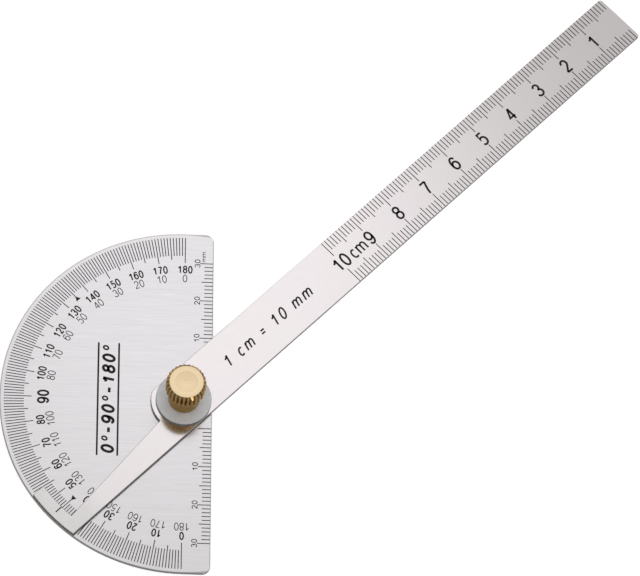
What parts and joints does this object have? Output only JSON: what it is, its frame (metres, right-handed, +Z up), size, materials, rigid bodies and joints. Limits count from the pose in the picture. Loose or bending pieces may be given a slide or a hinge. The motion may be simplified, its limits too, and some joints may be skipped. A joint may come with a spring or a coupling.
{
  "type": "angle finder",
  "caption": "Half-disc protractor head with a graduated arm that swings over it on a clamping stud, held by a flat washer and a knurled thumb nut.",
  "frame": {"origin": "on the pivot axis, in the plane of the protractor head's underside", "axes": "+Z up along the pivot stud, out of the graduated face; +X out of the head's straight edge; +Y along the straight edge, towards the 180 degree end; the 0 degree line points along -Y"},
  "size_m": [0.1585, 0.1585, 0.0134],
  "materials": {
    "brushed_sheet": "stainless sheet brushed along the straight edge's normal, with black filled graduations",
    "satin_sheet": "stainless strip, satin, with black filled graduations",
    "stud_steel": "turned steel",
    "washer_steel": "stamped and tumbled, dull",
    "nut_brass": "turned and straight knurled, bright"
  },
  "bodies": {
    "head": {"protractor_head": "brushed_sheet", "pivot_stud": "stud_steel"},
    "arm": {"swing_arm": "satin_sheet"},
    "washer": {"flat_washer": "washer_steel"},
    "nut": {"thumb_nut": "nut_brass"}
  },
  "joints": [
    {"name": "arm_swing", "type": "hinge", "parent": "head", "child": "arm", "pos_m": [0, 0, 0.00152], "axis": [0, 0, 1], "continuous": true},
    {"name": "washer_lift", "type": "slide", "parent": "head", "child": "washer", "axis": [0, 0, 1], "range_m": [0, 0.0007]},
    {"name": "nut_turn", "type": "hinge", "parent": "washer", "child": "nut", "pos_m": [0, 0, 0.006], "axis": [0, 0, 1], "range_deg": [0, 360]}
  ],
  "couplings": [
    {"joint": "nut_turn", "follows": "washer_lift", "rad_per_m": 8976}
  ]
}
